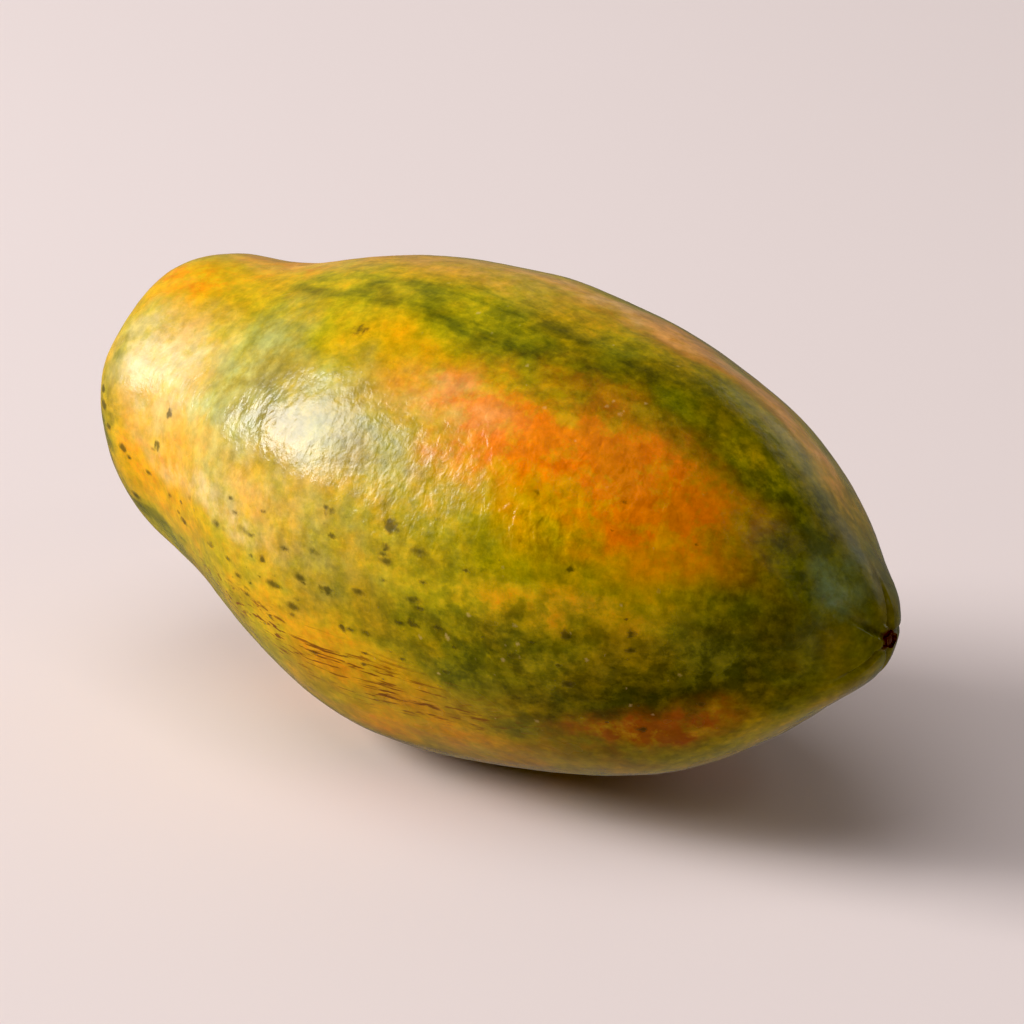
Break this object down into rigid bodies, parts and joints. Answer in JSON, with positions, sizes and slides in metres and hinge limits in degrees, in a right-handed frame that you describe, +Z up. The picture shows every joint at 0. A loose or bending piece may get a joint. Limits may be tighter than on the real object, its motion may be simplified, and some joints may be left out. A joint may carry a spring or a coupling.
{
  "type": "papaya",
  "caption": "Whole ripening papaya lying on its side: a pear-shaped fruit with a short neck, a blunt blossom tip and a dried stem stub in a shallow pit.",
  "frame": {"origin": "on the surface that the fruit lies on, under the middle of its box", "axes": "+X along the fruit from the stem end towards the blossom tip, +Z up, +Y across the fruit"},
  "size_m": [0.193, 0.0982, 0.0974],
  "materials": {
    "skin": "satin",
    "cork": "matte"
  },
  "bodies": {
    "root": {"fruit": "skin", "stem_stub": "cork"}
  },
  "joints": []
}
